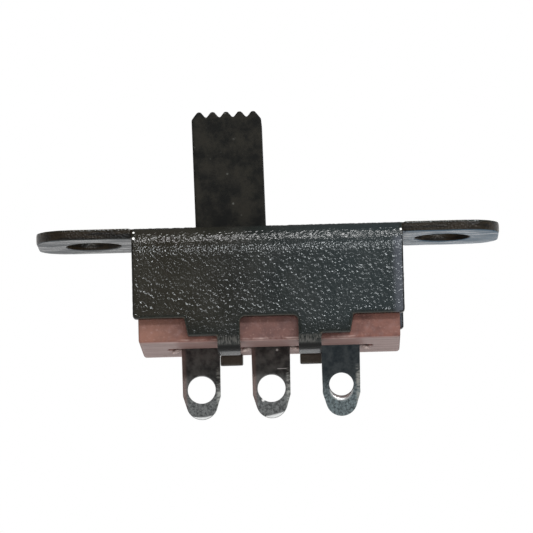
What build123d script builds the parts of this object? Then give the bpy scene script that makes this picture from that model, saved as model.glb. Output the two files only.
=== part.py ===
from build123d import *
import os

# Panel-mount slide switch with three solder lugs in one row: one pole, two positions.
# Millimetres. +X runs along the switch, the front wall faces -Y, and the knob points up +Z.
# The origin lies on the top face of the frame, midway between the two mounting holes.
# The slider rests in its left position.

# Frame: one steel stamping folded into a channel, with an ear at each end
sheet = 0.6
hole_spacing = 20.0
hole_diameter = 3.2
plate_length = 26.5
ear_depth = 6.0
ear_corner = 1.8
body_length = 15.4
body_depth = 8.6
wall_height = 5.35
wall_corner = 0.2
bend_radius = 1.7
nick_width = 0.12
nick_depth = 0.45

# Clinch tabs: each wall steps down into a wide shoulder, then into a narrow tongue folded under the base
tab_inner_edge = 1.65
shoulder_width = 3.15
shoulder_taper = 0.2
shoulder_drop = 1.05
shoulder_corner = 0.3
tongue_width = 1.3
tongue_reach = 1.7
tongue_bend = 0.75

# Base: phenolic moulding that fills the channel
base_length = 14.84
base_depth = 7.3
base_bottom = -6.7
base_floor = 1.5
base_edge = 0.12
base_shoulder_radius = 1.05
chamber_length = 13.24
chamber_top = -1.95
trough_depth = 4.6
pocket_length = 3.7
pocket_depth = 0.9
pocket_recess = 0.35

# Slider: knob and flange, with a carrier for the contact clip hanging below
travel = 4.2
knob_length = 4.0
knob_depth = 3.2
knob_height = 6.42
knob_edge = 0.15
slot_gap = 0.15
slot_corner = 0.3
rib_count = 5
rib_pitch = 0.775
rib_tip_radius = 0.12
rib_root_radius = 0.06
flange_length = 8.9
flange_depth = 7.1
flange_bottom = -1.85
flange_radius = 1.05
fit_gap = 0.05
carrier_length = 6.4
carrier_depth = 3.8
carrier_bottom = -4.4
clip_pocket_length = 4.3
clip_pocket_depth = 1.9
blade_way = 1.0
blade_way_top = -2.9

# Terminals: flat blanks, a contact blade above the base floor and a solder lug below it
lug_pitch = 4.0
terminal_sheet = 0.4
blade_length = 3.5
blade_top = -3.2
blade_corner = 0.25
slot_clearance = 0.02
lug_root_width = 2.22
lug_width = 2.16
lug_waist = -9.4
lug_tip = -10.75
lug_tip_radius = 0.9
lug_hole_diameter = 1.6
lug_hole_height = -9.04
lug_bend_height = -6.6
right_lug_lean = 16.0

# Contact clip: bronze strip folded over the blades, its leaves pinched in towards them
clip_length = 4.2
clip_sheet = 0.2
clip_crown_top = -2.6
clip_shoulder = 0.78
clip_pinch_height = -4.05
clip_contact_gap = 0.02
clip_flare = 0.6
clip_flare_height = -4.75
clip_bend = 0.25
finger_gap = 1.1
finger_top = -3.0

rest_x = -travel / 2


def block(length, depth, bottom, top, x=0, y=0):
    """Upright box of the given length and depth, centred on x and y."""
    return Pos(x, y, (bottom + top) / 2) * Box(length, depth, top - bottom)


def both_sides(shape):
    """The shape, with its mirror image behind the switch."""
    return shape + mirror(shape, about=Plane.XZ)


def shouldered(length, depth, bottom, top, radius):
    """Bar along X whose two long top edges are rounded, to nest under the bends of the channel."""
    bar = block(length, depth, bottom, top)
    return fillet(bar.edges().filter_by(Axis.X).group_by(Axis.Z)[-1], radius)


def front_view(outline, depth):
    """Solid whose outline is drawn in the XZ plane and runs through the whole depth."""
    return extrude(Plane.XZ * outline, amount=depth / 2, both=True)


def bent_strip(points, radius, thickness):
    """Section of sheet bent along a line through the points."""
    return trace(FilletPolyline(*points, radius=radius), line_width=thickness)


def rectangle_between(left, right, bottom, top):
    return Pos((left + right) / 2, (bottom + top) / 2) * Rectangle(right - left, top - bottom)


def wall_outline():
    """Front view of the channel: a plain wall with two tapered shoulders below it, round at their roots."""
    wall = rectangle_between(-body_length / 2, body_length / 2, -wall_height, 0)
    wall = fillet(wall.vertices().group_by(Axis.Y)[0], wall_corner)
    foot = -wall_height - shoulder_drop
    outer = tab_inner_edge + shoulder_width
    for side in (-1, 1):
        top_edge = Line((side * tab_inner_edge, -wall_height), (side * outer, -wall_height))
        bottom_edge = Line((side * tab_inner_edge, foot), (side * (outer - shoulder_taper), foot))
        wall += make_hull([top_edge, bottom_edge])
    lower_edge = wall.vertices().filter_by_position(Axis.Y, -wall_height, -wall_height)
    shoulder_roots = lower_edge.sort_by(Axis.X)[1:-1]
    return fillet(shoulder_roots, shoulder_corner)


def channel():
    """Sheet folded down along both long edges, cut to the outline of its walls."""
    deepest = -wall_height - shoulder_drop
    outer = shouldered(body_length, body_depth, deepest, 0, bend_radius)
    inner = shouldered(body_length, body_depth - 2 * sheet, deepest, -sheet, bend_radius - sheet)
    return (outer - inner) & front_view(wall_outline(), body_depth)


def tongue(x):
    """Narrow end of a shoulder: it runs on down the front wall and folds back under the base."""
    middle_plane = -body_depth / 2 + sheet / 2
    leaf_middle = base_bottom - sheet / 2
    start = (middle_plane, -wall_height - shoulder_drop / 2)
    corner = (middle_plane, leaf_middle)
    end = (-body_depth / 2 + tongue_reach, leaf_middle)
    section = bent_strip([start, corner, end], tongue_bend - sheet / 2, sheet)
    return Pos(x, 0, 0) * extrude(Plane.YZ * section, amount=tongue_width / 2, both=True)


def ears():
    """Flat plate from tip to tip, with round corners. It is narrower along the body, where the walls bend
    down from it, and that cut runs a little way into each ear as a nick."""
    plate = block(plate_length, ear_depth, -sheet, 0)
    plate = fillet(plate.edges().filter_by(Axis.Z), ear_corner)
    cut_length = body_length + 2 * nick_width
    return plate - both_sides(block(cut_length, nick_depth, -sheet, 0, 0, (ear_depth - nick_depth) / 2))


def frame():
    tongue_x = tab_inner_edge + tongue_width / 2
    body = channel() + both_sides(tongue(-tongue_x) + tongue(tongue_x)) + ears()
    for side in (-1, 1):
        body -= Pos(side * hole_spacing / 2, 0, -sheet / 2) * Cylinder(hole_diameter / 2, 2 * sheet)
    slot = block(knob_length + travel + 2 * slot_gap, knob_depth + 2 * slot_gap, -2 * sheet, sheet)
    return body - fillet(slot.edges().filter_by(Axis.Z), slot_corner)


def base():
    """Trough with full-height ends, and a slot through its floor for each terminal."""
    floor_top = base_bottom + base_floor
    body = shouldered(base_length, base_depth, base_bottom, -sheet, base_shoulder_radius)
    body = chamfer(body.faces().sort_by(Axis.Z)[0].edges(), base_edge)
    body -= block(chamber_length, base_depth, chamber_top, 0)
    body -= block(chamber_length, trough_depth, floor_top, 0)
    for place in (-1, 0, 1):
        x = place * lug_pitch
        slot_length = blade_length + 2 * slot_clearance
        slot_width = terminal_sheet + 2 * slot_clearance
        body -= block(slot_length, slot_width, base_bottom, floor_top, x)
        body -= block(pocket_length, pocket_depth, base_bottom, base_bottom + pocket_recess, x)
    return body


def knob_outline():
    """Front view of the knob: straight sides under five saw-tooth ribs with 45 degree flanks."""
    half = knob_length / 2
    first_rib = -(rib_count - 1) / 2 * rib_pitch
    crest = knob_height + half + first_rib
    teeth = []
    for rib in range(rib_count):
        x = first_rib + rib * rib_pitch
        teeth += [(x, crest), (x + rib_pitch / 2, crest - rib_pitch / 2)]
    corners = [(half, knob_height), (half, flange_bottom), (-half, flange_bottom), (-half, knob_height)]
    outline = make_face(Polyline(*teeth[:-1], *corners, close=True))
    valleys = outline.vertices().filter_by(lambda v: abs(v.Y - crest + rib_pitch / 2) < rib_root_radius)
    outline = fillet(valleys.filter_by(lambda v: abs(v.X) < half), rib_root_radius)
    return fillet(outline.vertices().group_by(Axis.Y)[-1], rib_tip_radius)


def slider():
    """Knob, flange and clip carrier in one moulding."""
    knob = front_view(knob_outline(), knob_depth)
    knob = fillet(knob.edges().filter_by(Axis.Z), knob_edge)
    flange = shouldered(flange_length, flange_depth, flange_bottom, -sheet - fit_gap, flange_radius)
    carrier = block(carrier_length, carrier_depth, carrier_bottom, flange_bottom)
    body = knob + flange + carrier
    body -= block(clip_pocket_length, clip_pocket_depth, carrier_bottom, clip_crown_top)
    body -= block(carrier_length, blade_way, carrier_bottom, blade_way_top)
    return Pos(rest_x, 0, 0) * body


def terminal(x, lean=0):
    """Flat terminal: a wide contact blade, shoulders in the base, and a lug with a wire hole."""
    shoulder = base_bottom + pocket_recess
    blade = rectangle_between(-blade_length / 2, blade_length / 2, shoulder, blade_top)
    blade = fillet(blade.vertices().group_by(Axis.Y)[-1], blade_corner)
    tip_circle = Pos(0, lug_tip + lug_tip_radius) * Circle(lug_tip_radius)
    root = Line((-lug_root_width / 2, shoulder), (lug_root_width / 2, shoulder))
    waist = Line((-lug_width / 2, lug_waist), (lug_width / 2, lug_waist))
    lug = make_hull([*tip_circle.edges(), waist, root])
    outline = blade + lug - Pos(0, lug_hole_height) * Circle(lug_hole_diameter / 2)
    flat = front_view(outline, terminal_sheet)
    return Pos(x, 0, 0) * (bent_back(flat, lean) if lean else flat)


def bent_back(flat, lean):
    """The terminal with its lug turned about a line across it, and a round knuckle in the bend."""
    bend_plane = Plane.XY.offset(lug_bend_height)
    upright = split(flat, bend_plane, keep=Keep.TOP)
    hanging = split(flat, bend_plane, keep=Keep.BOTTOM)
    bend_width = hanging.faces().sort_by(Axis.Z)[-1].bounding_box().size.X
    knuckle = Pos(0, 0, lug_bend_height) * Rot(0, 90, 0) * Cylinder(terminal_sheet / 2, bend_width)
    return upright + knuckle + hanging.rotate(Axis((0, 0, lug_bend_height), (1, 0, 0)), lean)


def contact_clip():
    """Strip folded over the blades. Each leaf pinches in to a blade and flares out again below."""
    crown = clip_crown_top - clip_sheet / 2
    pinch = terminal_sheet / 2 + clip_contact_gap + clip_sheet / 2
    half = [(clip_shoulder, crown), (pinch, clip_pinch_height), (clip_flare, clip_flare_height)]
    points = [(-y, z) for y, z in reversed(half)] + half
    section = bent_strip(points, clip_bend, clip_sheet)
    clip = extrude(Plane.YZ * section, amount=clip_length / 2, both=True)
    clip -= block(finger_gap, 2 * clip_flare + 2 * clip_sheet, clip_flare_height - clip_sheet, finger_top)
    return Pos(rest_x, 0, 0) * clip


parts = {
    "frame": frame(),
    "base": base(),
    "slider": slider(),
    "contact_clip": contact_clip(),
    "terminal_left": terminal(-lug_pitch),
    "terminal_common": terminal(0),
    "terminal_right": terminal(lug_pitch, right_lug_lean),
}

os.makedirs("parts", exist_ok=True)
for name, shape in parts.items():
    export_step(shape, f"parts/{name}.step")
    print(name, round(shape.volume, 3), "mm3", len(shape.solids()), "solid")
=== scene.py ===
# %% [markdown]
# # Dressing a small slide switch
# The switch is a folded steel frame round a red-brown moulded base, with a black knob and three solder
# lugs. Its solids arrive as a fixed frame, in metres. They are measured but never moved: this lesson
# gives them their soft edges, their surface texture and their finishes.

# %% Load the frame
import math

import bmesh
import bpy
from mathutils import Matrix, Vector
from mathutils.kdtree import KDTree


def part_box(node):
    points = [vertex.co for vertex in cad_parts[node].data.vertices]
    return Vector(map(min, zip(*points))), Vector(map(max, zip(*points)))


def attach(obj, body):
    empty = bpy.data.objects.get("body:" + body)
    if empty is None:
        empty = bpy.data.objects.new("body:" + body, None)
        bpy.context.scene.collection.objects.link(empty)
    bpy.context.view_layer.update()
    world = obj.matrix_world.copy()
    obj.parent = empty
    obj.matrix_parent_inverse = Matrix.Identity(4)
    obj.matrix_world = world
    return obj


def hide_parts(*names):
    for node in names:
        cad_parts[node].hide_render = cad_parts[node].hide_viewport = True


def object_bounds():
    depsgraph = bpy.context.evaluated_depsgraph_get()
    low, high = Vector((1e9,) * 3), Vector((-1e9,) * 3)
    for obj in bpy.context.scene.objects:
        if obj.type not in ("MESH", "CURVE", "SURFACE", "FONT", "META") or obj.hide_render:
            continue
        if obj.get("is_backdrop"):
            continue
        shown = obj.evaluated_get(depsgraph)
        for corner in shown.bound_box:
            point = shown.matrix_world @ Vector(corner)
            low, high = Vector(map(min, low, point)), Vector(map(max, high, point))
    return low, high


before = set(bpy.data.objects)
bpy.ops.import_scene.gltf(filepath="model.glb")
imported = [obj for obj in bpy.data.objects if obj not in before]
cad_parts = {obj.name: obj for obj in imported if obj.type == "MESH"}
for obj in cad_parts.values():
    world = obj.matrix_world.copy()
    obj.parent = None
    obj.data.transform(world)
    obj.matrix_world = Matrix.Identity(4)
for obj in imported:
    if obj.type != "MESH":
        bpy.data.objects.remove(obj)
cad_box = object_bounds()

MM = 0.001


# %% [markdown]
# ## The camera
# A small part looks calm through a long lens from a ruler's length away, because near and far edges
# then keep about the same scale. The camera stands a little below the switch and looks up, so the
# undersides of the two ears and of the base come into view. It is also rolled a little, which lifts the
# right-hand end.

# %% Camera
camera_distance = 0.300
camera_azimuth = math.radians(0.82)
camera_elevation = math.radians(-7.46)
camera_roll = math.radians(-1.41)
camera_target = Vector((-0.12, 0, -2.0)) * MM
sensor_width = 36.0
pixels_per_millimetre = 17.41
picture_width = 533
lens_per_distance = pixels_per_millimetre / picture_width

back = Vector((
    math.sin(camera_azimuth) * math.cos(camera_elevation),
    -math.cos(camera_azimuth) * math.cos(camera_elevation),
    math.sin(camera_elevation),
))
level_right = (-back).cross(Vector((0, 0, 1))).normalized()
level_up = level_right.cross(-back)
right = level_right * math.cos(camera_roll) + level_up * math.sin(camera_roll)
up = level_up * math.cos(camera_roll) - level_right * math.sin(camera_roll)

camera = bpy.data.objects.new("camera", bpy.data.cameras.new("camera"))
bpy.context.scene.collection.objects.link(camera)
camera.matrix_world = (
    Matrix.Translation(camera_target + back * camera_distance)
    @ Matrix((right, up, back)).transposed().to_4x4()
)
camera.data.sensor_width = sensor_width
camera.data.lens = sensor_width * lens_per_distance * camera_distance / MM
camera.data.clip_start = 0.01
camera.data.clip_end = 20
bpy.context.scene.camera = camera
bpy.context.scene.view_settings.view_transform = "Standard"
camera_place = [round(c / MM, 1) for c in camera.location]
print("lens", round(camera.data.lens, 1), "mm, camera at", camera_place, "mm")


# %% [markdown]
# ## Nodes written as sums
# Every finish here is a small piece of arithmetic on patterns. Wiring that by hand hides the
# arithmetic, so one class stands for a tree and one for a wire in it. A plus sign between two wires
# adds a Math node, and the same two classes serve shaders and geometry nodes alike.

# %% Wires
class Wire:
    """An output socket. Python's operators on it add Math nodes to its tree."""

    def __init__(self, tree, socket):
        self.tree = tree
        self.socket = socket

    def math(self, operation, *values):
        settings = {"operation": operation}
        return self.tree.add("ShaderNodeMath", settings, dict(enumerate(values)))

    def __add__(self, other):
        return self.math("ADD", self, other)

    def __sub__(self, other):
        return self.math("SUBTRACT", self, other)

    def __rsub__(self, other):
        return self.math("SUBTRACT", other, self)

    def __mul__(self, other):
        return self.math("MULTIPLY", self, other)

    def __truediv__(self, other):
        return self.math("DIVIDE", self, other)

    def __rtruediv__(self, other):
        return self.math("DIVIDE", other, self)

    __radd__ = __add__
    __rmul__ = __mul__

    def size(self):
        return self.math("ABSOLUTE", self)

    def power(self, exponent):
        return self.math("POWER", self, exponent)

    def at_least(self, other):
        return self.math("MAXIMUM", self, other)

    def at_most(self, other):
        return self.math("MINIMUM", self, other)

    def ramp(self, start, end):
        """0 up to start, 1 from end on, and a soft rise between them. It falls if end comes first."""
        low, high = min(start, end), max(start, end)
        values = {"Value": self, "From Min": low, "From Max": high}
        rise = self.tree.add("ShaderNodeMapRange", {"interpolation_type": "SMOOTHSTEP"}, values)
        return rise if start < end else 1 - rise


print("helper ready: Wire")


# %% [markdown]
# A tree adds any node by one method, which takes the node's type, its settings and the values or links
# of its sockets. The textures and the split of a vector are needed so often that they have methods of
# their own.

# %% Trees
class Tree:
    """A node tree, and the one method that adds any node to it."""

    def __init__(self, nodes):
        self.nodes = nodes

    def add(self, kind, settings=None, inputs=None, output=0):
        """A new node's output as a wire, once its settings and then its sockets are set or linked."""
        node = self.nodes.nodes.new(kind)
        for name, value in (settings or {}).items():
            setattr(node, name, value)
        for name, value in (inputs or {}).items():
            if isinstance(value, Wire):
                self.nodes.links.new(value.socket, node.inputs[name])
            else:
                node.inputs[name].default_value = value
        return Wire(self, node.outputs[output]) if node.outputs else node

    def parts(self, vector):
        """The X, Y and Z of a vector as three wires."""
        node = self.add("ShaderNodeSeparateXYZ", inputs={0: vector}).socket.node
        return [Wire(self, socket) for socket in node.outputs]

    def noise(self, place, size, detail=2.0, roughness=0.5, stretch=None):
        """Soft clouds about as large as size, from 0 to 1, drawn out along the axes by stretch."""
        if stretch:
            place = self.add("ShaderNodeVectorMath", {"operation": "DIVIDE"}, {0: place, 1: stretch})
        sockets = {"Vector": place, "Scale": 1 / size, "Detail": detail, "Roughness": roughness}
        return self.add("ShaderNodeTexNoise", inputs=sockets)

    def cells(self, place, size):
        """Distance to the nearest of many scattered points, which stand about size apart."""
        return self.add("ShaderNodeTexVoronoi", inputs={"Vector": place, "Scale": 1 / size})


print("helper ready: Tree")


# %% [markdown]
# ## A finish as a class of tree
# A material reads the place of each point in millimetres, because the real textures are easiest to tell
# in millimetres: a hammered cell is about a sixth of one across. Two colours are mixed by a Mix node,
# since a Math node would turn them grey.

# %% Finish
class Finish(Tree):
    """A material whose colour, roughness and bump are written as sums."""

    def __init__(self, name):
        self.material = bpy.data.materials.new(name)
        self.material.use_nodes = True
        super().__init__(self.material.node_tree)
        self.nodes.nodes.clear()
        metres = self.add("ShaderNodeTexCoord", output="Object")
        self.place = self.add("ShaderNodeVectorMath", {"operation": "SCALE"}, {0: metres, "Scale": 1 / MM})
        self.x, self.y, self.z = self.parts(self.place)

    def attribute(self, name):
        return self.add("ShaderNodeAttribute", {"attribute_name": name}, output="Fac")

    def mix(self, factor, first, second):
        """The first colour where factor is 0 and the second where it is 1."""
        sockets = {"Factor": factor}
        for name, colour in ((6, first), (7, second)):
            sockets[name] = colour if isinstance(colour, Wire) else (*colour, 1)
        return self.add("ShaderNodeMix", {"data_type": "RGBA"}, sockets, output=2)

    def place_spots(self, spots):
        """1 within small round spots on the front, each given as its X, its Z and its radius."""
        found = 0
        for x, z, radius in spots:
            away = (self.x - x).power(2) + (self.z - z).power(2)
            found = away.ramp(radius * radius, radius * radius * 0.4) + found
        return found.at_most(1)

    def bump(self, height, depth):
        """Normals of a relief that is depth millimetres deep where height runs from 0 to 1."""
        return self.add("ShaderNodeBump", inputs={"Height": height, "Distance": depth * MM})

    def close(self, **sockets):
        """The surface shader, with its sockets set or wired by name, and the material's output."""
        named = {name.replace("_", " "): value for name, value in sockets.items()}
        shader = self.add("ShaderNodeBsdfPrincipled", inputs=named)
        self.add("ShaderNodeOutputMaterial", inputs={"Surface": shader})
        return self.material


print("helper ready: Finish")


# %% [markdown]
# ## Floor, room and lamps
# Black paint and dull metal show what they mirror more than their own colour, so the room matters as
# much as the lamps. What they mirror here is a white sweep behind and beside the switch, with a dim
# ceiling and a dim side behind the camera. Dull surfaces get an even light of their own instead,
# stronger from the front, so the two can be set apart. The camera always sees plain white.

# %% Floor and room
floor_height = -340 * MM
floor_size = 1.6
ambient = 0.71
ambient_behind = 0.62
ambient_in_front = 1.42
mirrored_behind_camera = 0.18
mirrored_ceiling = 0.07

floor_mesh = bpy.data.meshes.new("floor")
corners = [(x * floor_size, y * floor_size, floor_height) for x, y in ((-1, -1), (1, -1), (1, 1), (-1, 1))]
floor_mesh.from_pydata(corners, [], [(0, 1, 2, 3)])
floor = bpy.data.objects.new("floor", floor_mesh)
bpy.context.scene.collection.objects.link(floor)
paper = Finish("paper")
paper_cloud = paper.noise(paper.place, size=40.0, detail=3)
paper_colour = paper.mix(paper_cloud, (0.82, 0.83, 0.84), (0.88, 0.88, 0.88))
floor_mesh.materials.append(paper.close(Base_Color=paper_colour, Roughness=0.9))
floor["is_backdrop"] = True

world = bpy.data.worlds.new("room")
world.use_nodes = True
bpy.context.scene.world = world
world.node_tree.nodes.clear()
room = Tree(world.node_tree)
toward_y, toward_z = room.parts(room.add("ShaderNodeTexCoord", output="Generated"))[1:]
seen = room.add("ShaderNodeLightPath", output="Is Camera Ray")
mirrored = room.add("ShaderNodeLightPath", output="Is Glossy Ray")
sweep = toward_y.ramp(-0.75, 0.1) * (1 - mirrored_behind_camera) + mirrored_behind_camera
ceiling = toward_z.ramp(0.42, 0.16) * (1 - mirrored_ceiling) + mirrored_ceiling
backdrop = seen.at_least(mirrored * sweep * ceiling)
from_front = toward_y.ramp(0.2, -0.9) * (ambient_in_front - ambient_behind) + ambient_behind
soft = (1 - seen.at_least(mirrored)) * ambient * from_front
light = room.add("ShaderNodeBackground", inputs={"Color": (1, 1, 1, 1), "Strength": backdrop + soft})
room.add("ShaderNodeOutputWorld", inputs={"Surface": light})
print("floor at", floor_height / MM, "mm, ambient light", ambient)


# %% [markdown]
# Two strip lamps, one overhead and one in front, draw the two bright lines along the folded edge,
# because a bend mirrors each of them where it is tilted halfway towards it. A broad weak lamp from
# below keeps the frame from throwing a hard shadow on the base. It is kept out of reflections, where
# its shape would show in the shiny lugs. The camera doesn't see the lamps themselves.

# %% Lamps
white = (1.0, 1.0, 1.0)
cool_white = (0.93, 0.97, 1.0)
strip_height = 0.035


def lamp(name, elevation, aside, distance, width, height, power, colour):
    """A soft lamp in front of the switch, at an elevation in degrees, moved aside to the right."""
    rise = math.radians(elevation)
    place = Vector((aside, -math.cos(rise) * distance, math.sin(rise) * distance))
    light = bpy.data.lights.new(name, "AREA")
    light.shape = "RECTANGLE"
    light.size = width
    light.size_y = height
    light.energy = power
    light.color = colour
    made = bpy.data.objects.new(name, light)
    made.location = place
    made.rotation_mode = "QUATERNION"
    made.rotation_quaternion = place.to_track_quat("Z", "Y")
    made.visible_camera = False
    bpy.context.scene.collection.objects.link(made)
    return made


lamp("overhead_lamp", elevation=76, aside=0.07, distance=0.40,
     width=0.28, height=strip_height, power=0.72, colour=white)
lamp("front_lamp", elevation=27, aside=0.15, distance=0.45,
     width=0.30, height=strip_height, power=1.05, colour=cool_white)
fill = lamp("fill_lamp", elevation=-30, aside=0.0, distance=0.40,
            width=0.30, height=0.15, power=0.32, colour=white)
fill.visible_glossy = False


# %% [markdown]
# ## From hard solids to soft skins
# Stamping, moulding and coating leave no edge truly sharp, and it is the small round edges that catch
# the light. Bevelling each edge by hand would fail where bends and cut-outs meet. A voxel remesh wraps
# the whole solid in an even skin instead, and a little smoothing rounds every edge alike. The copies
# are worked in millimetres, because the voxel tool has a smallest size, and they go back to metres at
# the end.

# %% Skins
weld_distance = 1e-7


def millimetre_copy(node):
    """A CAD node's triangles in a new mesh, merged at their corners and scaled up to millimetres."""
    mesh = bpy.data.meshes.new(node + "_copy")
    shape = bmesh.new()
    shape.from_mesh(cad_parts[node].data)
    bmesh.ops.remove_doubles(shape, verts=shape.verts, dist=weld_distance)
    bmesh.ops.scale(shape, vec=(1 / MM, 1 / MM, 1 / MM), verts=shape.verts)
    shape.to_mesh(mesh)
    shape.free()
    return mesh


def worker_for(mesh):
    """An object that carries the mesh while modifiers work on it."""
    worker = bpy.data.objects.new("worker", mesh)
    bpy.context.scene.collection.objects.link(worker)
    return worker


def taken_from(worker):
    """The plain mesh that a worker's modifiers make of its mesh. The worker is then removed."""
    evaluated = worker.evaluated_get(bpy.context.evaluated_depsgraph_get())
    result = bpy.data.meshes.new_from_object(evaluated)
    bpy.data.objects.remove(worker)
    return result


def finished(mesh, *modifiers):
    """The mesh after a stack of modifiers, each given as its type and its settings."""
    worker = worker_for(mesh)
    for kind, settings in modifiers:
        modifier = worker.modifiers.new(kind.lower(), kind)
        for name, value in settings.items():
            setattr(modifier, name, value)
    return taken_from(worker)


def skin(mesh, voxel, smoothing):
    """A closed skin of even quads round the mesh, with its edges rounded."""
    wrap = ("REMESH", {"mode": "VOXEL", "voxel_size": voxel, "use_smooth_shade": True})
    soften = ("SMOOTH", {"factor": 0.5, "iterations": smoothing})
    return finished(mesh, wrap, soften)


def triangles(mesh):
    return sum(len(face.vertices) - 2 for face in mesh.polygons)


def thinned(mesh, most):
    """The mesh with its flattest places thinned out until at most that many triangles are left."""
    count = triangles(mesh)
    return finished(mesh, ("DECIMATE", {"ratio": most / count})) if count > most else mesh


print("helpers ready: millimetre_copy, worker_for, taken_from, finished, skin, thinned")


# %% [markdown]
# Worn and sheared edges need a different colour from the faces beside them. The finish can't tell where
# they are, so each point of a skin stores how near it is to a sharp edge of the solid below, or to any
# other set of points. A tree of those points answers that quickly.

# %% Edge distance
edge_angle = math.radians(35)
edge_step = 0.06


def sharp_points(mesh):
    """Points every few hundredths of a millimetre along the sharp edges of a solid."""
    shape = bmesh.new()
    shape.from_mesh(mesh)
    points = []
    for edge in shape.edges:
        if len(edge.link_faces) == 2 and edge.calc_face_angle() > edge_angle:
            start, end = (v.co for v in edge.verts)
            count = max(1, round(edge.calc_length() / edge_step))
            points += [start.lerp(end, i / count) for i in range(count + 1)]
    shape.free()
    return points


def mark_near(mesh, name, points, reach):
    """Stores under a name how near each point of a skin is to a set of points: 1 at one, 0 beyond reach."""
    tree = KDTree(len(points))
    for index, point in enumerate(points):
        tree.insert(point, index)
    tree.balance()
    if name in mesh.attributes:
        mesh.attributes.remove(mesh.attributes[name])
    near = mesh.attributes.new(name, "FLOAT", "POINT")
    values = [max(0.0, 1 - tree.find(v.co)[2] / reach) for v in mesh.vertices]
    near.data.foreach_set("value", values)


print("helpers ready: sharp_points, mark_near")


# %% [markdown]
# A finished mesh goes back to metres and gets its material. Its object stays at the origin and rides on
# one of the two bodies, and it stands for the solid that it was made from, which then isn't shown.

# %% Settling a piece
def settle(name, mesh, material, body, slot, *nodes):
    """Turns a mesh in millimetres into a finished piece in metres that stands for CAD nodes."""
    mesh.transform(Matrix.Scale(MM, 4))
    mesh.materials.clear()
    mesh.materials.append(material)
    mesh.shade_smooth()
    mesh.name = name
    piece = bpy.data.objects.new(name, mesh)
    bpy.context.scene.collection.objects.link(piece)
    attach(piece, body)
    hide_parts(*nodes)
    low, high = (Vector(corner) for corner in (piece.bound_box[0], piece.bound_box[6]))
    print(name, triangles(mesh), "triangles,", [round(c / MM, 2) for c in high - low], "mm")


print("helper ready: settle")


# %% [markdown]
# ## The folded frame
# The real frame is stamped from sheet and folded into a channel. The outer face of the sheet, its inner
# face and its cut faces each look different, so the relief and the finish both have to know how deep in
# the sheet a point lies. Painting that by hand would be slow. It follows from the point's distance to
# the middle of the bend, so it is worked out instead.

# %% Sheet
sheet = 0.6
bend_radius = 1.7
half_depth = (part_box("frame")[1] / MM).y
ear_start = 7.7


def across_sheet(x, y, z):
    """Where a point lies in the sheet's thickness: 0 on its inner face and 1 on its outer face."""
    on_body = x.size().ramp(ear_start + 0.04, ear_start)
    beside = (y.size() - half_depth + bend_radius).at_least(0) * on_body
    above = (z + bend_radius).at_least(0)
    from_bend = (beside * beside + above * above).power(0.5)
    return (from_bend - bend_radius + sheet) / sheet


print("sheet", sheet, "mm thick, bent to", bend_radius, "mm, walls", round(2 * half_depth, 2), "mm apart")


# %% [markdown]
# Geometry Nodes make what repeats or follows a rule. Each tree here starts alike, with a mesh and some
# named numbers, and ends alike, with instances made real and a material set. A tree is run on a mesh
# and leaves a plain mesh behind, which the later steps can work on.

# %% Geometry trees
def tree_inputs(tree, *names):
    tree.nodes.interface.new_socket("Geometry", in_out="OUTPUT", socket_type="NodeSocketGeometry")
    tree.nodes.interface.new_socket("Geometry", in_out="INPUT", socket_type="NodeSocketGeometry")
    for name in names:
        tree.nodes.interface.new_socket(name, in_out="INPUT", socket_type="NodeSocketFloat")
    group = tree.add("NodeGroupInput").socket.node
    return [Wire(tree, socket) for socket in group.outputs[:len(names) + 1]]


def close_tree(tree, geometry, material):
    """Makes instances real, sets the material, and sends the result to the tree's output."""
    real = tree.add("GeometryNodeRealizeInstances", inputs={"Geometry": geometry})
    dressed = tree.add("GeometryNodeSetMaterial", inputs={"Geometry": real, "Material": material})
    tree.add("NodeGroupOutput", inputs={"Geometry": dressed})
    return tree


def run_tree(mesh, tree, **values):
    """The plain mesh that a geometry tree makes of a mesh, with its number inputs set by identifier."""
    worker = worker_for(mesh)
    modifier = worker.modifiers.new("nodes", "NODES")
    modifier.node_group = tree.nodes
    for item in tree.nodes.interface.items_tree:
        if item.in_out == "INPUT" and item.name in values:
            modifier[item.identifier] = values[item.name]
    return taken_from(worker)


print("helpers ready: tree_inputs, close_tree, run_tree")


# %% [markdown]
# The frame is stove-coated in black. The coating has shrunk into an orange-peel net of cells about a
# sixth of a millimetre across, on the outside only. A bump map could fake that, but the cells are
# coarse enough to be real relief, so the tree pushes the skin out along its normals by a cell pattern.
# It pushes less where the sheet is bent, on the tabs and ears, along the rims and on a calmer stretch
# to the left. The same tree lets the folded tongues spring open a little.

# %% Hammered relief
cell_size = 0.168
cell_height = 0.048
cell_smoothness = 0.6
swell_per_cell = 0.55
bend_middle = -1.4
calm_x = -4.6
calm_z = -2.7
calm_width = 3.4
calm_height = 0.9
tab_start = -5.2
tab_end = -6.2
fold_height = -6.45
tongue_bend = 0.75
tongue_spring = 0.10


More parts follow.
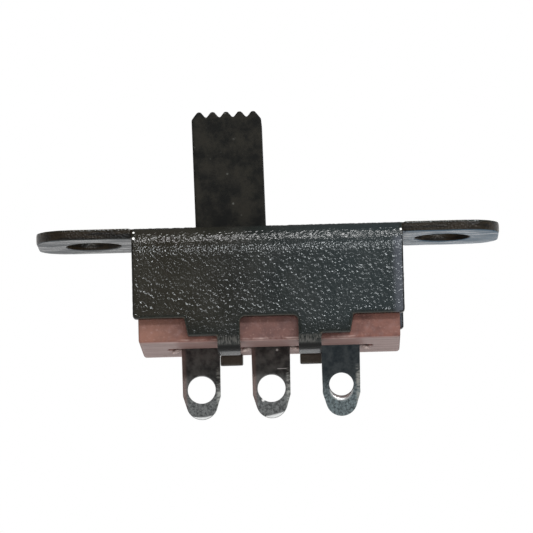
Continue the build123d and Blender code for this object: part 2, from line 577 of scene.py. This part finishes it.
def hammered_tree(material):
    """Pushes the outside of the channel out by a net of shallow cells, and springs its tongues open."""
    tree = Tree(bpy.data.node_groups.new("hammered", "GeometryNodeTree"))
    shape, cell, height, spring = tree_inputs(tree, "Cell Size", "Cell Height", "Tongue Spring")
    place = tree.add("GeometryNodeInputPosition")
    x, y, z = tree.parts(place)
    on_ear = x.size().ramp(ear_start, ear_start + 0.3)
    calm = ((x - calm_x) / calm_width).power(2) + ((z - calm_z) / calm_height).power(2)
    rim = tree.add("GeometryNodeInputNamedAttribute", {"data_type": "FLOAT"}, {"Name": "edge"})
    bend = (z - bend_middle).size().ramp(0.65, 0.25)
    tab = z.ramp(tab_start, tab_end)
    stretched = (1 - 0.65 * bend) * (1 - 0.55 * tab)
    stretched = stretched * rim.ramp(0.85, 0.40) * z.ramp(fold_height, fold_height + 0.2)
    outside = across_sheet(x, y, z).ramp(0.5, 0.9)
    outside = outside * (1 - 0.85 * on_ear) * (0.50 + 0.50 * calm.ramp(0.2, 1.3))
    scale = 1 / cell
    bumps = tree.add("ShaderNodeTexVoronoi", {"feature": "SMOOTH_F1"},
                     {"Vector": place, "Scale": scale, "Smoothness": cell_smoothness})
    swell = tree.add("ShaderNodeTexNoise", inputs={
        "Vector": place, "Scale": scale * swell_per_cell, "Detail": 1.0,
    })
    relief = (0.5 - bumps) * (0.35 + swell * 1.3) * height * outside * stretched
    normal = tree.add("GeometryNodeInputNormal")
    push = tree.add("ShaderNodeVectorMath", {"operation": "SCALE"}, {0: normal, "Scale": relief})
    bumped = tree.add("GeometryNodeSetPosition", inputs={"Geometry": shape, "Offset": push})
    inwards = (half_depth - tongue_bend - y.size()).at_least(0) * z.ramp(fold_height, fold_height - 0.1)
    drop = tree.add("ShaderNodeCombineXYZ", inputs={"Z": inwards * spring * -1})
    moved = tree.add("GeometryNodeSetPosition", inputs={"Geometry": bumped, "Offset": drop})
    return close_tree(tree, moved, material)


print("hammered cells", cell_size, "mm across and", cell_height, "mm high")


# %% [markdown]
# The coating is nearly black, with a green-grey cast, half glossy and a little uneven. Where the sheet
# was sheared it is thin, and a brown-olive line of bare steel shows through along the cut edges. On
# the folded tongues a pale band of short upright streaks is a painted highlight, and the bend below it
# is painted dark as painted shade.

# %% Coated steel
tongue_tip = half_depth - 1.7
tongue_root = -6.85
burr_glint_spots = ((-7.58, -0.34, 0.075), (-7.58, -0.72, 0.085), (7.60, -0.56, 0.075))


def coated_steel():
    finish = Finish("coated_steel")
    cloud = finish.noise(finish.place, size=1.6, detail=3)
    blotch = finish.noise(finish.place, size=0.45, detail=4, stretch=(3.5, 1, 0.5))
    net = finish.cells(finish.place, size=0.11)
    edge = finish.attribute("edge")
    below_bend = finish.z.ramp(-0.7, -1.2)
    at_end = finish.x.size().ramp(ear_start - 0.40, ear_start - 0.25) * below_bend
    tongue = finish.z.ramp(fold_height, fold_height - 0.1)
    tongue_end = tongue * finish.y.size().ramp(tongue_tip + 0.08, tongue_tip + 0.02)
    # painted shade: the tongues' bend below their root is painted dark
    painted_dark_fold = finish.z.ramp(tongue_root, tongue_root - 0.2) * (1 - tongue_end)
    # painted highlight: a pale streaked band where the tongues start to fold
    streak = finish.noise(finish.place, size=0.10, detail=2, stretch=(0.8, 1, 2.5))
    painted_fold_highlight = finish.z.ramp(fold_height + 0.06, fold_height - 0.12) * (1 - painted_dark_fold) * streak.ramp(0.38, 0.60)
    across = across_sheet(finish.x, finish.y, finish.z)
    sheared = (across.ramp(0.03, 0.15) * across.ramp(0.90, 0.80) * (1 - tongue)).at_least(tongue_end)
    inside = across.ramp(0.10, 0.02) * finish.z.ramp(-1.0, -0.75)
    # the coating: browner to the left and lighter and bluer to the right, painted tints of a warm light
    # and of the cool front lamp mirrored there; darker on the tabs
    colour = finish.mix(cloud.ramp(0.3, 0.7), (0.009, 0.011, 0.010), (0.019, 0.020, 0.018))
    colour = finish.mix(finish.x.ramp(1, -6) * 0.6, colour, (0.019, 0.015, 0.008))
    colour = finish.mix(finish.x.ramp(-3, 6) * 0.7, colour, (0.020, 0.028, 0.030))
    colour = finish.mix(finish.z.ramp(-5.3, -6.3) * 0.6, colour, (0.006, 0.008, 0.007))
    # its rims, and near both ends a painted highlight strip inside a painted dark outline
    colour = finish.mix(edge.ramp(0.25, 0.55) * (1 - at_end) * 0.6, colour, (0.006, 0.008, 0.006))
    colour = finish.mix(edge.ramp(0.80, 0.92) * (1 - at_end) * 0.7, colour, (0.085, 0.067, 0.042))
    # painted highlight: a lighter blue-grey strip just inside each end
    end_highlight_strip = finish.x.ramp(ear_start - 0.75, ear_start - 0.3) * below_bend * (0.5 + 0.5 * cloud)
    colour = finish.mix(end_highlight_strip * 0.8, colour, (0.086, 0.092, 0.110))
    # painted shade: a dark outline along each end
    colour = finish.mix(edge.ramp(0.66, 0.80) * at_end, colour, (0.002, 0.002, 0.002))
    # the folded tongues: a pale band of upright streaks is a painted highlight, and the bend below it
    # is painted dark as painted shade
    colour = finish.mix(painted_fold_highlight * 0.9, colour, (0.068, 0.066, 0.060))
    colour = finish.mix(painted_dark_fold, colour, (0.0045, 0.0045, 0.0036))
    # the inner face of the sheet, which shows under the ears, and its cut faces; towards the right ear
    # the lining is painted lighter and bluer as a painted reflection
    lining = finish.mix(blotch.ramp(0.35, 0.6), (0.012, 0.017, 0.019), (0.032, 0.041, 0.047))
    lining = finish.mix(finish.x.ramp(5, 9) * 0.8, lining, (0.030, 0.090, 0.150))
    colour = finish.mix(inside, colour, lining)
    cut = finish.mix(blotch.ramp(0.35, 0.65), (0.003, 0.002, 0.001), (0.020, 0.013, 0.006))
    cut = finish.mix(tongue_end * 0.8, cut, (0.070, 0.058, 0.044))
    colour = finish.mix(sheared, colour, cut)
    # small painted glints on the bare burrs where the ears leave the walls
    burr_glint = finish.place_spots(burr_glint_spots) * finish.y.ramp(1.4 - half_depth, 0.9 - half_depth)
    colour = finish.mix(burr_glint, colour, (0.86, 0.85, 0.82))
    smooth = 0.15 + 0.10 * cloud + inside * (0.05 + (blotch - 0.42) * 0.9)
    return finish.close(
        Base_Color=colour,
        Metallic=painted_dark_fold * 0.55 + (sheared - tongue_end).at_least(0) * 0.35,
        Roughness=smooth + sheared * 0.15,
        Normal=finish.bump(net, 0.014),
    )


steel = coated_steel()
print("material ready:", steel.name)


# %% [markdown]
# The relief needs a skin of fine points, and most of them are spare once it is on, so the skin is
# thinned after that. Thinning moves points, so how near each is to an edge is stored twice: once for
# the tree and once for the finish.

# %% Frame shell
frame_voxel = 0.06
frame_smoothing = 4
frame_triangles = 195000
edge_reach = 0.30

frame_points = sharp_points(millimetre_copy("frame"))
shell = skin(millimetre_copy("frame"), frame_voxel, frame_smoothing)
print("frame skin", triangles(shell), "triangles before thinning")
mark_near(shell, "edge", frame_points, edge_reach)
shell = run_tree(shell, hammered_tree(steel), **{
    "Cell Size": cell_size, "Cell Height": cell_height, "Tongue Spring": tongue_spring,
})
shell = thinned(shell, frame_triangles)
mark_near(shell, "edge", frame_points, edge_reach)
settle("frame_shell", shell, steel, "housing", "frame_steel", "frame")


# %% [markdown]
# ## The knob and slider
# One black moulding, with five saw-tooth ribs across its top for the fingertip. The ribs are drawn
# anew, so the knob of the solid is cut flat below them first. A cut leaves a mesh open, and its rim is
# filled again, because the voxel tool needs closed solids. It then wraps the knob and its ribs in one
# surface, as the mould did.

# %% Drawing, joining and cutting
def solid_mesh(name, points, faces):
    """A mesh of some points and faces, with its faces turned outwards."""
    mesh = bpy.data.meshes.new(name)
    mesh.from_pydata(points, [], faces)
    shape = bmesh.new()
    shape.from_mesh(mesh)
    bmesh.ops.recalc_face_normals(shape, faces=shape.faces)
    shape.to_mesh(mesh)
    shape.free()
    return mesh


def joined(*meshes):
    """Several meshes in one."""
    shape = bmesh.new()
    for mesh in meshes:
        shape.from_mesh(mesh)
    result = bpy.data.meshes.new("joined")
    shape.to_mesh(result)
    shape.free()
    return result


def cut_flat(mesh, height):
    """The mesh below a height, closed there with a flat face."""
    shape = bmesh.new()
    shape.from_mesh(mesh)
    everything = [*shape.verts, *shape.edges, *shape.faces]
    cut = bmesh.ops.bisect_plane(
        shape, geom=everything, plane_co=(0, 0, height), plane_no=(0, 0, 1), clear_outer=True)
    rim = [item for item in cut["geom_cut"] if isinstance(item, bmesh.types.BMEdge)]
    bmesh.ops.edgenet_fill(shape, edges=rim)
    shape.to_mesh(mesh)
    shape.free()
    return mesh


print("helpers ready: solid_mesh, joined, cut_flat")


# %% [markdown]
# The five ribs are alike and evenly spaced. One is drawn as a prism, and a tree sets copies of it in a
# row, so their number and spacing can be changed at any time.

# %% Ribs
rib_count = 5
rib_pitch = 0.775
rib_depth = 3.2
rib_seat = 0.12
rib_flat = 0.09
slider_low, slider_high = (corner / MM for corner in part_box("slider"))
knob_middle = (slider_low.x + slider_high.x) / 2
rib_foot = slider_high.z - rib_pitch / 2 + 0.02


def rib_mesh():
    """One rib as a prism along Y, with its foot below 0 and its crest cut a little flat."""
    half, crest, flat = rib_pitch / 2, slider_high.z - rib_foot, rib_flat
    section = [(-half, -rib_seat), (half, -rib_seat), (half, 0), (flat, crest), (-flat, crest), (-half, 0)]
    near = [(x, -rib_depth / 2, z) for x, z in section]
    far = [(x, rib_depth / 2, z) for x, z in section]
    count = len(section)
    sides = [(i, (i + 1) % count, count + (i + 1) % count, count + i) for i in range(count)]
    ends = [tuple(reversed(range(count))), tuple(range(count, 2 * count))]
    return solid_mesh("rib", near + far, [*ends, *sides])


def rib_row_tree(material):
    """Sets copies of one rib in a row along X."""
    tree = Tree(bpy.data.node_groups.new("rib_row", "GeometryNodeTree"))
    rib, count, pitch, middle, foot = tree_inputs(tree, "Count", "Pitch", "Middle", "Foot")
    first = middle - (count - 1) * pitch * 0.5
    start = tree.add("ShaderNodeCombineXYZ", inputs={"X": first, "Z": foot})
    step = tree.add("ShaderNodeCombineXYZ", inputs={"X": pitch})
    row = tree.add("GeometryNodeMeshLine", inputs={"Count": count, "Start Location": start, "Offset": step})
    ribs = tree.add("GeometryNodeInstanceOnPoints", inputs={"Points": row, "Instance": rib})
    return close_tree(tree, ribs, material)


print(rib_count, "ribs", rib_pitch, "mm apart, with their crests at", round(slider_high.z, 2), "mm")


# %% [markdown]
# The plastic is a dull black with a trace of brown, and the mould left it faintly clouded. A few pale
# specks of dust or scuffing sit on the faces.

# %% Black moulding
def black_moulding():
    finish = Finish("black_moulding")
    cloud = finish.noise(finish.place, size=0.9, detail=6, roughness=0.68)
    grain = finish.noise(finish.place, size=0.07, detail=2)
    edge = finish.attribute("edge")
    speck = finish.cells(finish.place, size=0.55).ramp(0.16, 0.06) * cloud.ramp(0.42, 0.60)
    colour = finish.mix(cloud.ramp(0.35, 0.65), (0.0034, 0.0034, 0.0027), (0.0158, 0.0140, 0.0100))
    # painted highlight: a lighter band just inside the rounded edges below the ribs
    colour = finish.mix(edge.ramp(0.3, 0.6) * edge.ramp(0.85, 0.65) * 0.35, colour, (0.035, 0.035, 0.033))
    colour = finish.mix(speck * 0.6, colour, (0.10, 0.10, 0.09))
    return finish.close(
        Base_Color=colour,
        Roughness=0.66 + 0.15 * cloud,
        Specular_IOR_Level=0.2,
        Normal=finish.bump(grain, 0.006),
    )


black = black_moulding()
print("material ready:", black.name)


# %% [markdown]
# The slider has some play in its slot, so the finished knob leans a little to the left. Each point
# moves aside in proportion to its height, which keeps the foot of the knob in place.

# %% Slider moulding
slider_voxel = 0.06
slider_smoothing = 2
slider_triangles = 120000
knob_lean = math.radians(0.9)
below_ribs = rib_foot - 0.2

ribs = run_tree(rib_mesh(), rib_row_tree(black), **{
    "Count": float(rib_count), "Pitch": rib_pitch, "Middle": knob_middle, "Foot": rib_foot,
})
knob = cut_flat(millimetre_copy("slider"), rib_foot - rib_seat / 2)
slider_skin = thinned(skin(joined(knob, ribs), slider_voxel, slider_smoothing), slider_triangles)
for point in slider_skin.vertices:
    point.co.x -= max(0.0, point.co.z) * math.tan(knob_lean)
knob_edges = [point for point in sharp_points(knob) if point.z < below_ribs]
mark_near(slider_skin, "edge", knob_edges, edge_reach)
settle("slider_moulding", slider_skin, black, "slider", "knob_plastic", "slider")


# %% [markdown]
# ## The base
# The base is moulded from a red-brown resin with filler in it. Each terminal was pushed through a slot
# in it and staked: a punch on either side of the lug raised a small pale lip that grips the metal. A
# lip is a ridge that tapers at both ends, drawn as rings of points whose size follows a circle.

# %% Staked lip
lip_length = 0.62
lip_width = 0.34
lip_height = 0.24


def lip_mesh():
    """A ridge along X that tapers to nothing at both ends."""
    rings, around = 10, 10
    points = [(-lip_length / 2, 0, 0)]
    sides = []
    for ring in range(1, rings):
        along = 2 * ring / rings - 1
        taper = math.sqrt(1 - along * along)
        for step in range(around):
            turn = 2 * math.pi * step / around
            across = math.cos(turn) * taper * lip_width / 2
            points.append((along * lip_length / 2, across, math.sin(turn) * taper * lip_height / 2))
    points.append((lip_length / 2, 0, 0))
    last = len(points) - 1
    for step in range(around):
        beside = (step + 1) % around
        sides.append((0, 1 + step, 1 + beside))
        sides.append((last, last - around + beside, last - around + step))
        for ring in range(rings - 2):
            here = 1 + ring * around
            there = here + around
            sides.append((here + step, there + step, there + beside, here + beside))
    return solid_mesh("lip", points, sides)


print("lip", lip_length, "by", lip_width, "by", lip_height, "mm")


# %% [markdown]
# The six lips are alike, so a tree sets one beside each lug, left and right in turn, tilted down away
# from the lug. It works each place out from the number of the copy: half of it gives the lug, and
# whether it is odd gives the side.

# %% Row of lips
lug_pitch = 4.0
lug_reach = 1.12
lip_aside = lug_reach + lip_length * 0.45
lip_back = 0.32
lip_sink = 0.03
lip_tilt = math.radians(20)


def lip_row_tree(material):
    """Sets a pair of lips, tilted left and right, beside each of a row of lugs."""
    tree = Tree(bpy.data.node_groups.new("lip_row", "GeometryNodeTree"))
    lip, lugs, pitch, aside, back, height, tilt = tree_inputs(
        tree, "Lugs", "Pitch", "Aside", "Back", "Height", "Tilt")
    index = tree.add("GeometryNodeInputIndex")
    lug = index.math("FLOOR", index * 0.5)
    side = (index - lug * 2) * 2 - 1
    place = tree.add("ShaderNodeCombineXYZ", inputs={
        "X": (lug - (lugs - 1) * 0.5) * pitch + side * aside, "Y": back, "Z": height,
    })
    turn = tree.add("ShaderNodeCombineXYZ", inputs={"Y": side * tilt})
    row = tree.add("GeometryNodeMeshLine", inputs={"Count": lugs * 2})
    spots = tree.add("GeometryNodeSetPosition", inputs={"Geometry": row, "Position": place})
    sockets = {"Points": spots, "Instance": lip, "Rotation": turn}
    lips = tree.add("GeometryNodeInstanceOnPoints", inputs=sockets)
    return close_tree(tree, lips, material)


print("lips", round(lip_aside, 2), "mm either side of lugs", lug_pitch, "mm apart")


# %% [markdown]
# Where the punch struck, it left a shallow dent beside each lip. A dent has no edge of its own, so it
# needs no new faces: the points of the skin near it move up by a soft bowl. How deep each went is
# stored with it, because shade is painted into the dents.

# %% Punch dents
dent_reach = 1.42
dent_back = -0.20
dent_length = 0.42
dent_width = 0.36
dent_depth = 0.16
base_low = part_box("base")[0] / MM


def dent(mesh):
    """Sinks the dents into the underside, and stores how deep each point went, from 0 to 1."""
    spots = [(lug * lug_pitch + side * dent_reach, dent_back) for lug in (-1, 0, 1) for side in (-1, 1)]
    depths = []
    for vertex in mesh.vertices:
        depth = 0.0
        if vertex.co.z < base_low.z + 0.05:
            for x, y in spots:
                away = ((vertex.co.x - x) / dent_length) ** 2 + ((vertex.co.y - y) / dent_width) ** 2
                depth = max(depth, (1 - min(1.0, away)) ** 2)
        vertex.co.z += depth * dent_depth
        depths.append(depth)
    mesh.attributes.new("dent", "FLOAT", "POINT").data.foreach_set("value", depths)


print("underside at", round(base_low.z, 2), "mm, dents up to", dent_depth, "mm deep")


# %% [markdown]
# The resin's colour is mottled and its faces are a little uneven. The underside is painted paler as a
# painted sheen, with fine streaks along its length, and the lower front edge carries a painted
# highlight in places.

# %% Phenolic
def phenolic():
    finish = Finish("phenolic")
    cloud = finish.noise(finish.place, size=0.8, detail=4, roughness=0.65)
    bloom = finish.noise(finish.place, size=0.45, detail=3)
    fleck = finish.noise(finish.place, size=0.14, detail=2)
    streak = finish.noise(finish.place, size=0.3, detail=3, stretch=(9, 0.4, 1))
    edge = finish.attribute("edge")
    below = finish.z.ramp(base_low.z + 0.09, base_low.z + 0.02)
    colour = finish.mix(cloud.ramp(0.3, 0.7), (0.112, 0.046, 0.037), (0.202, 0.086, 0.065))
    colour = finish.mix(finish.x.size().ramp(3.6, 1.0) * 0.45, colour, (0.095, 0.050, 0.046))
    colour = finish.mix(finish.x.ramp(-3.6, -7.0) * 0.45, colour, (0.250, 0.118, 0.078))
    colour = finish.mix(bloom.ramp(0.5, 0.75) * 0.40, colour, (0.230, 0.135, 0.125))
    colour = finish.mix(fleck.ramp(0.55, 0.75) * 0.45, colour, (0.30, 0.17, 0.14))
    # the underside: fine streaks, painted paler as a painted sheen
    streaks_and_sheen = finish.mix(streak.ramp(0.3, 0.7), (0.235, 0.156, 0.142), (0.405, 0.294, 0.272))
    # darker and redder on the underside in front of the lugs
    between = finish.x.size().ramp(5.5, 5.1) * finish.y.ramp(-0.2, -0.5)
    streaks_and_sheen = finish.mix(between * 0.65, streaks_and_sheen, (0.220, 0.118, 0.102))
    colour = finish.mix(below, colour, streaks_and_sheen)
    # painted highlight: pale patches along the rounded lower front edge
    along = finish.noise(finish.place, size=0.6, detail=3, stretch=(1.6, 1, 1))
    front_rim = finish.z.ramp(base_low.z + 0.5, base_low.z + 0.1) * finish.x.size().ramp(5.5, 5.0)
    front_edge_highlight = edge.ramp(0.45, 0.95) * along.ramp(0.44, 0.58) * front_rim * (0.4 + 0.6 * fleck)
    colour = finish.mix(front_edge_highlight * 0.8, colour, (0.50, 0.37, 0.33))
    # painted shade: the resin is darkened in the punch dents
    colour = finish.mix(finish.attribute("dent").ramp(0.02, 0.45) * 0.9, colour, (0.085, 0.024, 0.020))
    pale = finish.mix(fleck.ramp(0.35, 0.65), (0.36, 0.26, 0.235), (0.62, 0.51, 0.47))
    colour = finish.mix(finish.attribute("lip").ramp(0.25, 0.75), colour, pale)
    return finish.close(
        Base_Color=colour,
        Roughness=0.5 + 0.2 * cloud,
        Specular_IOR_Level=0.4,
        Normal=finish.bump(fleck, 0.008),
    )


resin = phenolic()
print("material ready:", resin.name)


# %% [markdown]
# The skin wraps the base and its lips together, so each lip grows out of the base without a seam. Its
# points then learn how near they are to an edge and to a lip, and the dents are sunk last.

# %% Base moulding
base_voxel = 0.055
base_smoothing = 2
base_triangles = 150000
edge_highlight_reach = 0.16
lip_reach = 0.10

lips = run_tree(lip_mesh(), lip_row_tree(resin), **{
    "Lugs": 3.0, "Pitch": lug_pitch, "Aside": lip_aside,
    "Back": lip_back, "Height": base_low.z - lip_sink, "Tilt": lip_tilt,
})
base_solid = millimetre_copy("base")
base_skin = thinned(skin(joined(base_solid, lips), base_voxel, base_smoothing), base_triangles)
mark_near(base_skin, "edge", sharp_points(base_solid), edge_highlight_reach)
mark_near(base_skin, "lip", [v.co.copy() for v in lips.vertices], lip_reach)
dent(base_skin)
settle("base_moulding", base_skin, resin, "housing", "phenolic", "base")


# %% [markdown]
# ## The terminals
# Three flat brass blanks, tinned and gone dull. A punch draws the rim of a blank over as it cuts, so
# the lower rims of two lugs are round. In the third lug's hole a little tin has run down and set as a
# round rim. Both rims are painted near white as a painted highlight, and both are made by moving
# points: near the rim, each goes onto a small circle round the edge.

# %% Rolled rims
lug_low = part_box("terminal_common")[0].z / MM
lug_face = -0.2
tip_radius = 0.9
tip_centre = lug_low + tip_radius
tip_span = 0.7
tip_narrowing = 2.2


def rounded(inside, behind, reach):
    """Where a point near a square rim goes when the rim is rounded, and 1 where that changes it."""
    if reach < 0.01 or inside > reach or behind > reach:
        return inside, behind, 0.0
    off = Vector((inside - reach, behind - reach))
    goal = off * min(1.0, reach / off.length)
    return reach + goal.x, reach + goal.y, min(1.0, 3 * (1 - max(inside, behind) / reach))


def roll_tip(mesh, middle, size, aside):
    """Rounds a lug's lower front rim where it points down, or aside from that by an angle."""
    marks = []
    for vertex in mesh.vertices:
        out = Vector((vertex.co.x - middle, vertex.co.z - tip_centre))
        turn = math.atan2(out.x, -out.y) - aside
        reach = size * math.cos(turn * tip_narrowing) if abs(turn) < tip_span else 0.0
        inside, behind, mark = rounded(tip_radius - out.length, vertex.co.y - lug_face, reach)
        if mark:
            out = out.normalized() * (tip_radius - inside)
            vertex.co = (middle + out.x, lug_face + behind, tip_centre + out.y)
        marks.append(mark)
    mesh.attributes.new("roll", "FLOAT", "POINT").data.foreach_set("value", marks)


print("lug tips at", round(lug_low, 2), "mm, rounded to", tip_radius, "mm")


# %% [markdown]
# The lug on the right leans back, so its mesh is turned upright for the work and back again afterwards.
# The tin draws the rim of its hole in, most at the bottom where it ran to, and fades out over a short
# distance.

# %% Tin in a hole
hole_radius = 0.8
hole_centre = -9.04
hole_roll = 0.26
hole_span = 1.4
hole_narrowing = 1.1
tin_width = 0.3
tin_thickness = 0.11
tin_sag = 0.12
bend_height = -6.6
right_lean = math.radians(16)


def roll_hole(mesh, middle, lean):
    """Draws a leaning lug's hole in with tin, most at the bottom, and rounds the front rim there."""
    pivot = Matrix.Translation((0, 0, bend_height))
    leaning = pivot @ Matrix.Rotation(lean, 4, "X") @ pivot.inverted()
    mesh.transform(leaning.inverted())
    marks = []
    for vertex in mesh.vertices:
        out = Vector((vertex.co.x - middle, vertex.co.z - hole_centre))
        mark = 0.0
        if out.length < hole_radius + tin_width:
            turn = math.atan2(out.x, -out.y)
            filled = tin_thickness + tin_sag * math.cos(turn)
            distance = out.length - filled * (1 - (out.length - hole_radius) / tin_width)
            edge = hole_radius - filled
            reach = hole_roll * math.cos(turn * hole_narrowing) if abs(turn) < hole_span else 0.0
            inside, behind, mark = rounded(distance - edge, vertex.co.y - lug_face, reach)
            out = out.normalized() * (edge + inside)
            vertex.co = (middle + out.x, lug_face + behind, hole_centre + out.y)
        marks.append(mark)
    mesh.transform(leaning)
    mesh.attributes.new("roll", "FLOAT", "POINT").data.foreach_set("value", marks)


print("hole", 2 * hole_radius, "mm wide, in a lug leaning", round(math.degrees(right_lean)), "degrees")


# %% [markdown]
# The tin is dark where it is smooth, because it mirrors the dim side of the room, and grey and speckled
# where solder has wetted the lower ends. Brass shows red-brown along the left edges of two lugs. A few
# scratches are thin ramps of the point's own place.

# %% Tinned brass
scratch_x = 0.62
scratch_z = -7.94
nicks = ((0.37, -6.86, 0.08), (-0.50, -9.73, 0.10))


def tinned_brass():
    finish = Finish("tinned_brass")
    cloud = finish.noise(finish.place, size=0.5, detail=4, roughness=0.65)
    speckle = finish.noise(finish.place, size=0.13, detail=3, roughness=0.7)
    brushed = finish.noise(finish.place, size=0.16, detail=3, stretch=(2.5, 1, 0.6))
    grain = finish.noise(finish.place, size=0.06, detail=2)
    aside = finish.x - lug_pitch * finish.x.math("ROUND", finish.x / lug_pitch)
    upright = finish.x.ramp(2.5, 1.5)
    tip = (finish.z + 0.7 * cloud).ramp(lug_low + 3.0, lug_low + 1.3)
    colour = finish.mix(cloud.ramp(0.3, 0.7), (0.066, 0.065, 0.063), (0.190, 0.186, 0.176))
    # painted reflection: the leaning right lug gets a darker, bluer copy of the tin
    leaning = finish.mix(cloud.ramp(0.3, 0.7), (0.030, 0.038, 0.044), (0.080, 0.090, 0.094))
    colour = finish.mix(upright, leaning, colour)
    speckled = speckle.ramp(0.35, 0.65)
    grey = finish.mix(speckled, (0.086, 0.088, 0.086), (0.262, 0.268, 0.262))
    # painted reflection: the leaning lug's solder-grey ends are painted bluer
    blue_grey = finish.mix(speckled, (0.094, 0.112, 0.116), (0.300, 0.358, 0.368))
    colour = finish.mix(tip, colour, finish.mix(upright, blue_grey, grey))
    bared = aside.ramp(-0.76, -0.98) * upright * (0.6 + 0.4 * speckle)
    colour = finish.mix(bared * 0.85, colour, (0.320, 0.225, 0.200))
    rubbed = aside.ramp(0.78, 0.95) * finish.z.ramp(lug_low + 3.2, lug_low + 2.4) * brushed.ramp(0.40, 0.60)
    colour = finish.mix(rubbed * 0.85, colour, (0.52, 0.52, 0.48))
    middle = finish.x.size().ramp(1.1, 1.0)
    scratch = (finish.z - scratch_z).size().ramp(0.035, 0.010)
    scratch = scratch * (finish.x - scratch_x).size().ramp(0.30, 0.22)
    nick = finish.place_spots(nicks)
    colour = finish.mix((scratch + nick).at_most(1) * middle, colour, (0.95, 0.93, 0.90))
    # painted highlight: the rounded rims are painted near white
    roll = finish.attribute("roll")
    colour = finish.mix(roll, colour, (0.96, 0.96, 0.95))
    return finish.close(
        Base_Color=colour,
        Metallic=1.0,
        Roughness=(0.30 + 0.22 * tip + 0.18 * cloud) * (1 - 0.35 * roll),
        Normal=finish.bump(grain * 0.4 + speckle * 0.6, 0.010),
    )


brass = tinned_brass()
print("material ready:", brass.name)


# %% [markdown]
# The lugs are thin, so their skin is finer than the others. The left and the middle one get a rolled
# tip, each of its own size and turned a little aside, and the right one gets the tin in its hole.

# %% Lugs
lug_voxel = 0.040
lug_smoothing = 2

for name in ("left", "common", "right"):
    node = "terminal_" + name
    lug_skin = skin(millimetre_copy(node), lug_voxel, lug_smoothing)
    if name == "left":
        roll_tip(lug_skin, -lug_pitch, size=0.15, aside=math.radians(2))
    elif name == "common":
        roll_tip(lug_skin, 0, size=0.21, aside=math.radians(13))
    else:
        roll_hole(lug_skin, lug_pitch, right_lean)
    settle("lug_" + name, lug_skin, brass, "housing", "terminal_metal", node)


# %% [markdown]
# ## The contact clip
# A folded strip of spring bronze, hidden in the base. It needs only a true finish, so its solid stays
# as it is.

# %% Spring bronze
def spring_bronze():
    finish = Finish("spring_bronze")
    rolled = finish.noise(finish.place, size=0.2, detail=3, stretch=(6, 1, 1))
    colour = finish.mix(rolled, (0.50, 0.33, 0.17), (0.66, 0.46, 0.26))
    return finish.close(Base_Color=colour, Metallic=1.0, Roughness=0.25 + 0.2 * rolled)


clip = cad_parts["contact_clip"]
clip.data.materials.clear()
clip.data.materials.append(spring_bronze())
print("contact clip keeps its solid, in", clip.data.materials[0].name)


# %% [markdown]
# ## Sizes and finish
# The dressed switch has to keep to the size of its solids. Both boxes are printed side by side.

# %% Sizes
boxes = {"cad": cad_box, "visual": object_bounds()}
for name, (low, high) in boxes.items():
    print(name, "box", [round(c / MM, 2) for c in low], [round(c / MM, 2) for c in high], "mm")
